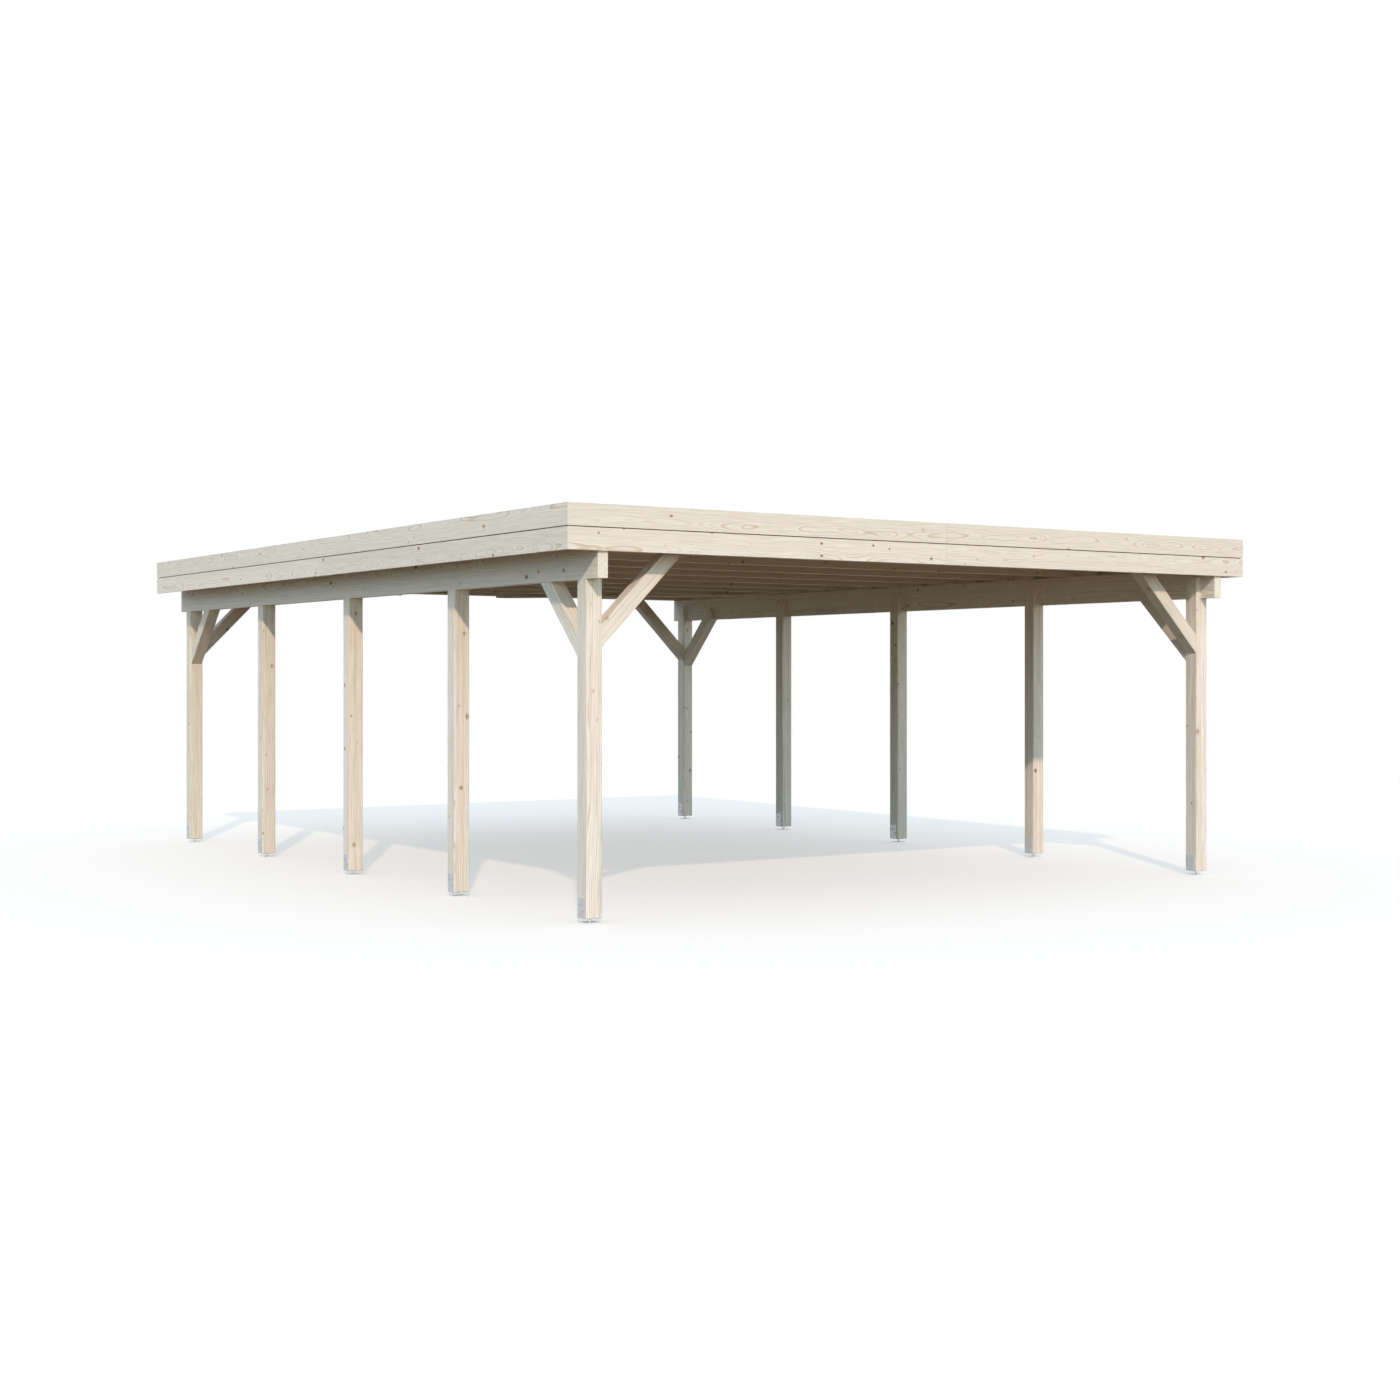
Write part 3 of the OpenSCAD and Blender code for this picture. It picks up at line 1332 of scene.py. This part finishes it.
@dataclass
class Beams:
    """The two beams that lie on the posts' shoulders.

    Attributes:
        shop: The workshop.
        arris: Width of the broken edges.
        pith: Where the pith lies.
    """

    shop: Workshop
    arris: float = 0.002
    pith: Pith = Pith(depth=(0.060, 0.090), aside=(0.02, 0.06))

    def build(self) -> None:
        """Plane both beams."""
        for side in Side:
            node = f"{side.word}_beam"
            box = Box.of(node)
            beam = Bench.block(f"{node}_timber", box)
            Bench.ease(beam, self.arris)
            self.shop.grain(beam, box, ALONG_Y, ALONG_X * -side.value, self.pith)
            self.shop.fit(beam, Slot.BEAM, node)


@dataclass
class Rafters:
    """The rafters across the beams, with the two ties over the end posts.

    Attributes:
        shop: The workshop.
        count: Number of rafters, without the ties.
        arris: Width of the broken edges.
        rough_edge: Depth of the shade painted on the wood behind the fascia, from 0 to 1.
        pith: Where the pith lies.
    """

    shop: Workshop
    count: int = 11
    arris: float = 0.001
    rough_edge: float = 0.90
    pith: Pith = Pith(depth=(0.045, 0.080), aside=(0.01, 0.06))

    def build(self) -> None:
        """Plane one rafter and copy it to every place; what lies behind the fascia gets painted shade."""
        nodes = [f"rafter_{number:02d}" for number in range(1, self.count + 1)]
        nodes += [f"{end.word}_tie_rafter" for end in End]
        first = Box.of(nodes[0])

        def is_behind_fascia(place: Vector) -> bool:
            """A corner on a rafter's end, or on the front of the first rafter."""
            return min(place.x - first.low.x, first.high.x - place.x, place.y - first.low.y) < NEAR

        pattern = Bench.block("rafter", first)
        Bench.ease(pattern, self.arris)
        for node in nodes:
            box = Box.of(node)
            rafter = Bench.copy(pattern, f"{node}_timber", box.low - first.low)
            self.shop.grain(rafter, box, ALONG_X, ALONG_Y * self.shop.mill.sign(), self.pith)
            # Painted shade on the rafter's ends and the first rafter's front, which show through the
            # fascia's groove.
            paint_shade(rafter, is_behind_fascia, self.rough_edge)
            self.shop.fit(rafter, Slot.RAFTER, node)
        Bench.discard(pattern)


@dataclass
class Braces:
    """Knee braces across the ends and along the beams, and the flat wind braces at the rear.

    Attributes:
        shop: The workshop.
        arris: Width of the knee braces' broken edges.
        pith: Where their pith lies.
        clearance: How far a notch's cutter reaches past the brace.
        wind_width: Width of a wind brace.
        wind_arris: Width of its broken edges.
        wind_pith: Where its pith lies.
    """

    shop: Workshop
    arris: float = 0.002
    pith: Pith = Pith(depth=(0.085, 0.120), aside=(0.0, 0.03))
    clearance: float = 0.020
    wind_width: float = 0.095
    wind_arris: float = 0.001
    wind_pith: Pith = Pith(depth=(0.04, 0.07), aside=(0.0, 0.03))

    def build(self) -> None:
        """Cut all ten braces."""
        for end in End:
            for side in Side:
                self._cross_brace(end, side)
                self._side_brace(end, side)
        for side in Side:
            self._wind_brace(side)

    def _cross_brace(self, end: End, side: Side) -> None:
        """Cut a brace from an end post up to the tie rafter.

        Args:
            end: The end it stands at.
            side: The side it stands on.
        """
        node = f"{end.word}_{side.word}_cross_brace"
        box = Box.of(node)
        sign = side.value
        foot = Vector((box.face(X, sign), box.centre.y, box.low.z))
        brace = Bench.block(f"{node}_timber", box)
        Bench.saw(brace, foot, (-sign, 0.0, -1.0))
        Bench.saw(brace, foot + ALONG_Z * (box.size.y * MITRE), (sign, 0.0, 1.0))
        self._dress(brace, node, Vector((-sign, 0.0, 1.0)), ALONG_Y * end.value, box)

    def _side_brace(self, end: End, side: Side) -> None:
        """Cut a brace from an end post up to the beam, notched to leave a cheek beside the beam.

        Args:
            end: The end it stands at.
            side: The side it stands on.
        """
        node = f"{end.word}_{side.word}_side_brace"
        box = Box.of(node)
        beam = Box.of(f"{side.word}_beam")
        sign = end.value
        # The box is taller than deep by half the height of the brace's face on the post.
        step = 2.0 * (box.size.z - box.size.y)
        foot = Vector((box.centre.x, box.face(Y, sign), box.low.z))
        tip = Vector((box.centre.x, box.face(Y, -sign), box.low.z + box.size.y))
        brace = Bench.block(f"{node}_timber", box)
        Bench.saw(brace, foot, (0.0, -sign, -1.0))
        Bench.saw(brace, foot + ALONG_Z * step, (0.0, sign, 1.0))
        Bench.saw(brace, tip, (0.0, -sign, 1.0))
        beyond = box.face(X, side.value) + side.value * self.clearance
        Bench.carve(brace, Bench.block("notch", Box.between(
            (beam.face(X, -side.value), beyond),
            (box.low.y - self.clearance, box.high.y + self.clearance), beam.span(Z))))
        self._dress(brace, node, Vector((0.0, -sign, 1.0)), ALONG_X * side.value, box)

    def _wind_brace(self, side: Side) -> None:
        """Cut a flat board that runs at 45 degrees under the last rafters.

        Args:
            side: The side it runs to.
        """
        node = f"{side.word}_wind_brace"
        box = Box.of(node)
        sign = side.value
        near = Vector((box.face(X, -sign), box.high.y, box.centre.z))
        far = near + ALONG_X * (sign * self.wind_width * MITRE)
        brace = Bench.block(f"{node}_timber", box)
        Bench.saw(brace, near, (-sign, -1.0, 0.0))
        Bench.saw(brace, far, (sign, 1.0, 0.0))
        Bench.ease(brace, self.wind_arris, turn=Turn.MITRED)
        self.shop.grain(brace, box, Vector((sign, -1.0, 0.0)), ALONG_Z, self.wind_pith)
        self.shop.fit(brace, Slot.BRACE, node)

    def _dress(self, brace: Object, node: str, along: Vector, face: Vector, box: Box) -> None:
        """Break a knee brace's edges, give it its grain and fit it.

        Args:
            brace: The cut brace.
            node: The node that it stands for.
            along: Direction of its length.
            face: Direction square to it, out of the carport.
            box: Its box.
        """
        Bench.ease(brace, self.arris, turn=Turn.MITRED)
        heart = along.cross(face).normalized() * self.shop.mill.sign() - face
        self.shop.grain(brace, box, along, heart, self.pith)
        self.shop.fit(brace, Slot.BRACE, node)


@dataclass
class Fascia:
    """Two courses of boards round the front and sides, and the board across the rear.

    Attributes:
        shop: The workshop.
        butt_gap: Gap between two boards that butt.
        arris: Width of the broken edges.
        tongue: Thickness of the tongue on a lower board.
        tongue_gap: Gap between the tongue and the upper board.
        rough_edge: Depth of the shade painted at the groove, from 0 to 1.
        upper_pith: Where the upper boards' pith lies; they are sawn flatter.
        lower_pith: Where the other boards' pith lies.
    """

    shop: Workshop
    butt_gap: float = 0.0015
    arris: float = 0.0006
    tongue: float = 0.006
    tongue_gap: float = 0.0002
    rough_edge: float = 0.90
    upper_pith: Pith = Pith(depth=(0.026, 0.050), aside=(0.0, 0.03))
    lower_pith: Pith = Pith(depth=(0.050, 0.090), aside=(0.03, 0.07))

    def build(self) -> None:
        """Cut every board, course by course."""
        for course in Course:
            self._front(course)
            for side in Side:
                self._side(side, course)
        box = Box.of("rear_board")
        board = Bench.block("rear_board_timber", box)
        self._plane(board, ALONG_X, -ALONG_Y, Course.LOWER, box)
        self.shop.fit(board, Slot.FASCIA, "rear_board")

    def _front(self, course: Course) -> None:
        """Cut the front's two boards, which butt in the middle and are mitred at the corners.

        Args:
            course: Their course.
        """
        node = f"front_{course.word}_fascia"
        box = Box.of(node)
        boards: list[Object] = []
        for side in Side:
            outer = box.face(X, side.value)
            half = Box.between((side.value * self.butt_gap / 2, outer), box.span(Y), box.span(Z))
            board = Bench.block(f"{node}_{side.word}", half)
            Bench.saw(board, (outer, box.low.y, 0.0), (side.value, 1.0, 0.0))
            self._finish(board, ALONG_X, ALONG_Y, course, half)
            boards.append(board)
        self.shop.fit(Bench.join(f"{node}_timber", boards), Slot.FASCIA, node)

    def _side(self, side: Side, course: Course) -> None:
        """Cut one side's two boards, of which the front one is mitred.

        Args:
            side: Their side.
            course: Their course.
        """
        node = f"{side.word}_{course.word}_fascia"
        box = Box.of(node)
        sign = side.value
        boards: list[Object] = []
        for end in End:
            outer = box.face(Y, end.value)
            half = Box.between(box.span(X), (end.value * self.butt_gap / 2, outer), box.span(Z))
            board = Bench.block(f"{node}_{end.word}", half)
            if end is End.FRONT:
                Bench.saw(board, (box.face(X, sign), outer, 0.0), (-sign, -1.0, 0.0))
            self._finish(board, ALONG_Y, ALONG_X * -sign, course, half)
            boards.append(board)
        self.shop.fit(Bench.join(f"{node}_timber", boards), Slot.FASCIA, node)

    def _finish(self, board: Object, along: Vector, back: Vector, course: Course, box: Box) -> None:
        """Finish a board of a course, with painted shade at the groove; a lower board has a tongue there.

        Args:
            board: The cut board.
            along: Direction of its length.
            back: Direction of its back.
            course: Its course.
            box: Its box, without the tongue.
        """
        lower = course is Course.LOWER
        if lower:
            self._raise_tongue(board, back, box)
        self._plane(board, along, back, course, box)

        def is_at_groove(place: Vector) -> bool:
            """A corner on the board's edge at the groove, or on its tongue."""
            return place.z > box.high.z - NEAR if lower else place.z < box.low.z + NEAR

        # Painted shade on the board's edge at the groove and on its tongue.
        paint_shade(board, is_at_groove, self.rough_edge)

    def _raise_tongue(self, board: Object, back: Vector, box: Box) -> None:
        """Raise a tongue along the back of a lower board's edge, which closes the groove behind.

        Args:
            board: The cut board.
            back: Direction of its back.
            box: Its box.
        """
        groove = Box.of(f"front_{Course.UPPER.word}_fascia").low.z - box.high.z
        root = box.centre + back * (abs(box.size.dot(back)) / 2 - self.tongue)

        def is_back_strip(middle: Vector, normal: Vector) -> bool:
            """The strip of the board's upper edge behind the tongue's root."""
            return normal.z > FACING and (middle - root).dot(back) > 0

        Bench.score(board, root, back)
        Bench.raise_faces(board, is_back_strip, (0.0, 0.0, groove - self.tongue_gap))

    def _plane(self, board: Object, along: Vector, back: Vector, course: Course, box: Box) -> None:
        """Break a board's edges and give it its grain.

        Args:
            board: The cut board.
            along: Direction of its length.
            back: Direction of its back, towards the pith.
            course: Its course.
            box: Its box.
        """
        Bench.ease(board, self.arris, turn=Turn.MITRED)
        pith = self.upper_pith if course is Course.UPPER else self.lower_pith
        self.shop.grain(board, box, along, back, pith)


@dataclass
class RoofDeck:
    """The deck: matched boards along the carport, with a V-joint below.

    Attributes:
        shop: The workshop.
        boards: Number of boards.
        joint: Gap between two boards.
        vee: Width of the chamfers that make the V-joint.
        pith: Where the pith lies.
    """

    shop: Workshop
    boards: int = 50
    joint: float = 0.0004
    vee: float = 0.004
    pith: Pith = Pith(depth=(0.035, 0.075), aside=(0.0, 0.04))

    def build(self) -> None:
        """Model one board, lay it across the roof and join the lot."""
        deck = Box.of("roof_deck")
        pitch = deck.size.x / self.boards
        first = Box.between((deck.low.x + self.joint / 2, deck.low.x + pitch - self.joint / 2),
                            deck.span(Y), deck.span(Z))
        pattern = Bench.block("deck_board", first)

        def is_vee(middle: Vector, direction: Vector) -> bool:
            """A lower edge along the board."""
            return abs(direction.y) > FACING and abs(middle.z - first.low.z) < NEAR

        Bench.bevel_edges(pattern, is_vee, self.vee)
        laid: list[Object] = []
        for place in range(self.boards):
            shift = ALONG_X * (pitch * place)
            board = Bench.copy(pattern, f"deck_board_{place}", shift)
            box = Box(first.low + shift, first.high + shift)
            self.shop.grain(board, box, ALONG_Y, ALONG_Z * self.shop.mill.sign(), self.pith)
            laid.append(board)
        Bench.discard(pattern)
        self.shop.fit(Bench.join("roof_deck_boards", laid), Slot.DECK, "roof_deck")


@dataclass
class RoofFelt:
    """The felt: strips across the roof, each lapped over the next one, and turned up at the fascia.

    Attributes:
        shop: The workshop.
        strips: Number of strips.
        lap: How far a strip lies on the next one.
        cuts: Number of cuts each way that let a strip ripple.
        ripple: Height of the ripples.
        upstand: Height of the turned-up edges.
        upstand_tone: Lightness of the turned-up edges.
        edge: Width of the broken edges.
        tones: Least and greatest lightness of a strip.
        seed: Seed of the tones and ripples.
    """

    shop: Workshop
    strips: int = 8
    lap: float = 0.090
    cuts: int = 22
    ripple: float = 0.0005
    upstand: float = 0.013
    upstand_tone: float = 1.0
    edge: float = 0.0008
    tones: Span = (0.80, 1.12)
    seed: int = 7

    def build(self) -> None:
        """Lay the strips from front to rear and turn the edges up."""
        draw = random.Random(self.seed)
        box = Box.of("roof_membrane")
        pitch = box.size.y / self.strips
        pieces: list[Object] = []
        for number in range(self.strips):
            last = number == self.strips - 1
            start = box.low.y + pitch * number
            stop = box.high.y if last else start + pitch + self.lap
            strip = self._strip(number, Box.between(box.span(X), (start, stop), box.span(Z)), last)
            tone = draw.uniform(*self.tones)
            write_on_corners(strip, Mark.TONE, lambda _: tone)
            pieces.append(strip)
        pieces += self._upstands(box)
        felt = Bench.join("roof_felt", pieces)
        Bench.smooth(felt)
        self.shop.fit(felt, Slot.FELT, "roof_membrane")

    def _strip(self, number: int, box: Box, last: bool) -> Object:
        """Model one strip, whose rear edge climbs on to the next strip.

        Args:
            number: Its place from the front.
            box: Its box before it climbs.
            last: True for the strip at the rear edge, which stays flat.

        Returns:
            The strip.
        """
        strip = Bench.block(f"felt_strip_{number}", box)
        if not last:
            with Bench.picking(strip, Element.FACE, lambda _, normal: normal.y > FACING):
                bpy.ops.transform.translate(value=(0.0, 0.0, box.size.z))
        Bench.ease(strip, self.edge, facets=1)
        with Bench.picking(strip, Element.FACE, lambda _, normal: normal.z > FACING):
            bpy.ops.mesh.subdivide(number_cuts=self.cuts)
            bpy.ops.mesh.select_less()
            bpy.ops.transform.vertex_random(offset=self.ripple, seed=self.seed + number)
            # The rim's faces took a corner at each cut, so they are poked into triangles.
            bpy.ops.mesh.select_face_by_sides(number=4, type="GREATER", extend=False)
            bpy.ops.mesh.poke()
        return strip

    def _upstands(self, box: Box) -> list[Object]:
        """Turn the felt up against the front and side fascia.

        Args:
            box: The membrane's box.

        Returns:
            The three turned-up edges.
        """
        tall = (box.low.z, box.low.z + self.upstand)
        sheet = box.size.z
        front = Box.of(f"front_{Course.UPPER.word}_fascia").high.y
        edges = [Box.between(box.span(X), (front, front + sheet), tall)]
        for side in Side:
            outer = box.face(X, side.value)
            across = (outer, outer - side.value * sheet)
            edges.append(Box.between(across, (front + sheet, box.high.y), tall))
        upstands: list[Object] = []
        for place, edge in enumerate(edges):
            upstand = Bench.block(f"felt_upstand_{place}", edge)
            Bench.ease(upstand, self.edge)
            write_on_corners(upstand, Mark.TONE, lambda _: self.upstand_tone)
            upstands.append(upstand)
        return upstands


@dataclass
class Stage:
    """A pale floor that takes the carport's shadow and fades to white far away.

    Attributes:
        reach: How far the floor reaches each way.
        drop: How far it lies below the feet.
        paint: Colour that takes the light and the shadow.
        glow: Light of its own that is added to it.
        fade: Distances at which it starts to fade and is white.
        bounce: Colour that it casts on the carport.
    """

    reach: float = 60.0
    drop: float = 0.0006
    paint: Rgb = (0.445, 0.397, 0.352)
    glow: float = 0.50
    fade: Span = (7.0, 19.0)
    bounce: Rgb = (0.152, 0.106, 0.068)

    def build(self) -> None:
        """Lay the floor."""
        Bench.clear()
        bpy.ops.mesh.primitive_plane_add(size=2 * self.reach, location=(0.0, 0.0, -self.drop))
        floor = Bench.settle("floor")
        floor.data.materials.append(self._material())

    def _material(self) -> Material:
        """Draw the floor's nodes: pale where it is seen, earthy where it only reflects, clear from below.

        Returns:
            The material.
        """
        material, sketch = new_material("studio_floor")
        paint = sketch.add("BsdfDiffuse", "painted floor", Color=self.paint)
        glow = sketch.add("Emission", "floor's own light", Color=(self.glow,) * 3)
        lit = sketch.add("AddShader", "lit floor", paint.outputs[0], glow.outputs[0])
        white = sketch.add("Emission", "white distance")
        place = sketch.add("TexCoord", "place").outputs["Object"]
        away = sketch.vector("distance from the middle", "LENGTH", place).outputs["Value"]
        share = sketch.step("fade", away, Ramp(*self.fade))
        shown = sketch.mix_shaders("shown floor", share, lit.outputs[0], white.outputs[0])
        earth = sketch.add("BsdfDiffuse", "reflecting floor", Color=self.bounce)
        above = sketch.mix_shaders("floor from above", sketch.seen(), earth.outputs[0], shown)
        below = sketch.add("NewGeometry", "side of the floor").outputs["Backfacing"]
        clear = sketch.add("BsdfTransparent", "clear floor").outputs[0]
        sketch.end("Material", sketch.mix_shaders("floor", below, above, clear))
        return material


@dataclass
class Daylight:
    """A low sun from the front left and a soft cool sky, on a white background.

    Attributes:
        towards_sun: Direction of the sun.
        sun_distance: How far away its lamp hangs.
        sun_colour: Colour of its light.
        sun_strength: Strength of its light.
        sun_width: Its width in the sky, in degrees.
        zenith: Light of the sky above the haze.
        haze: Height of the haze, where the zenith's is 1.
        horizon: Light of the sky at the horizon.
        glow: The same in front of the carport.
        glow_spread: How far a direction leans to the front where the glow starts and where it is full.
    """

    towards_sun: Triple = (-0.412, -0.729, 0.547)
    sun_distance: float = 20.0
    sun_colour: Rgb = (1.0, 0.806, 0.668)
    sun_strength: float = 2.03
    sun_width: float = 1.2
    zenith: Rgb = (0.81, 1.08, 1.33)
    haze: float = 0.29
    horizon: Rgb = (0.39, 0.67, 0.69)
    glow: Rgb = (1.78, 1.84, 1.38)
    glow_spread: Span = (0.35, 0.95)

    def build(self) -> None:
        """Hang the sun and paint the world."""
        Bench.clear()
        towards = Vector(self.towards_sun)
        bpy.ops.object.light_add(type="SUN", location=towards * self.sun_distance)
        lamp = bpy.context.object
        lamp.name = "sun"
        lamp.rotation_euler = towards.to_track_quat("Z", "Y").to_euler()
        lamp.data.energy = self.sun_strength
        lamp.data.color = self.sun_colour
        lamp.data.angle = math.radians(self.sun_width)
        world = bpy.data.worlds.new("studio")
        world.use_nodes = True
        bpy.context.scene.world = world
        sketch = ShaderSketch(world.node_tree)
        direction = sketch.add("TexCoord", "direction").outputs["Generated"]
        _, depth, height = sketch.split("direction's numbers", direction)
        lean = sketch.maths("lean to the front", "MULTIPLY", depth, -1.0)
        front = sketch.step("front", lean, Ramp(*self.glow_spread))
        low = sketch.mix("low sky", front, self.horizon, self.glow)
        share = sketch.step("above the haze", height, Ramp(0.0, self.haze))
        light = sketch.mix("sky", share, low, self.zenith)
        sky = sketch.add("Background", "sky light", Color=light, Strength=1.0)
        white = sketch.add("Background", "white background", Color=(1.0, 1.0, 1.0), Strength=1.0)
        sketch.end("World", sketch.mix_shaders("world", sketch.seen(), sky.outputs[0], white.outputs[0]))


@dataclass
class Viewpoint:
    """The camera, level and a little below a person's eyes, off the front left corner.

    Attributes:
        place: Where it stands.
        tilt: Its tilt in degrees, from straight down.
        heading: Its turn to the left of straight to the rear, in degrees.
        lens: Focal length in millimetres.
        sensor: Width of the sensor in millimetres.
        shift: Upward shift of the sensor, as a share of its width.
    """

    place: Triple = (-8.970, -14.277, 1.537)
    tilt: float = 90.0
    heading: float = -33.5885
    lens: float = 50.66
    sensor: float = 36.0
    shift: float = -0.0165

    def build(self) -> None:
        """Set the camera up."""
        Bench.clear()
        turn = (math.radians(self.tilt), 0.0, math.radians(self.heading))
        bpy.ops.object.camera_add(location=self.place, rotation=turn)
        camera = bpy.context.object
        camera.name = "viewpoint"
        camera.data.sensor_width = self.sensor
        camera.data.lens = self.lens
        camera.data.shift_y = self.shift
        bpy.context.scene.camera = camera


def finishes() -> dict[Slot, Material]:
    """Draw the finish of every slot.

    Returns:
        The materials by slot.
    """
    white = (0.925, 0.858, 0.768)
    pale = (0.900, 0.833, 0.738)
    creamy = (0.815, 0.740, 0.646)
    warm = (0.740, 0.645, 0.510)
    short_bends = Mottle((1.9, 2.5, 2.5), 2.0)
    crowded = Knots(cell=0.095)
    return {
        Slot.POST: SpruceFinish("post_spruce", early=white, wander=0.030, figure=1.0, streaks=0.90,
                                dashes=0.18).material(),
        Slot.BEAM: SpruceFinish("beam_spruce", early=pale).material(),
        Slot.RAFTER: SpruceFinish("rafter_spruce", early=warm).material(),
        Slot.BRACE: SpruceFinish("brace_spruce", wander=0.030, figure=1.0, streaks=0.90,
                                 dashes=0.20, knots=crowded).material(),
        Slot.FASCIA: SpruceFinish("fascia_spruce", early=creamy, bends=short_bends,
                                  streaks=0.30).material(),
        Slot.DECK: SpruceFinish("deck_spruce", early=warm).material(),
        Slot.FELT: FeltFinish("slated_felt").material(),
        Slot.ZINC: ZincFinish("galvanised_zinc").material(),
    }


def main() -> None:
    """Load the frame, dress it piece by piece, light it and log how many pieces were fitted."""
    logging.basicConfig(level=logging.INFO, format="%(name)s: %(message)s")
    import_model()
    shop = Workshop(Sawmill(seed=20), finishes())
    Viewpoint().build()
    Daylight().build()
    Stage().build()
    for side in Side:
        PostRow(shop, side).build()
        PostFeet(shop, side).build()
    Beams(shop).build()
    Rafters(shop).build()
    Braces(shop).build()
    Fascia(shop).build()
    RoofDeck(shop).build()
    RoofFelt(shop).build()
    bpy.context.scene.view_settings.view_transform = "Standard"
    LOG.info("%d pieces fitted", len(shop.fitted))


if __name__ == "__main__":
    main()
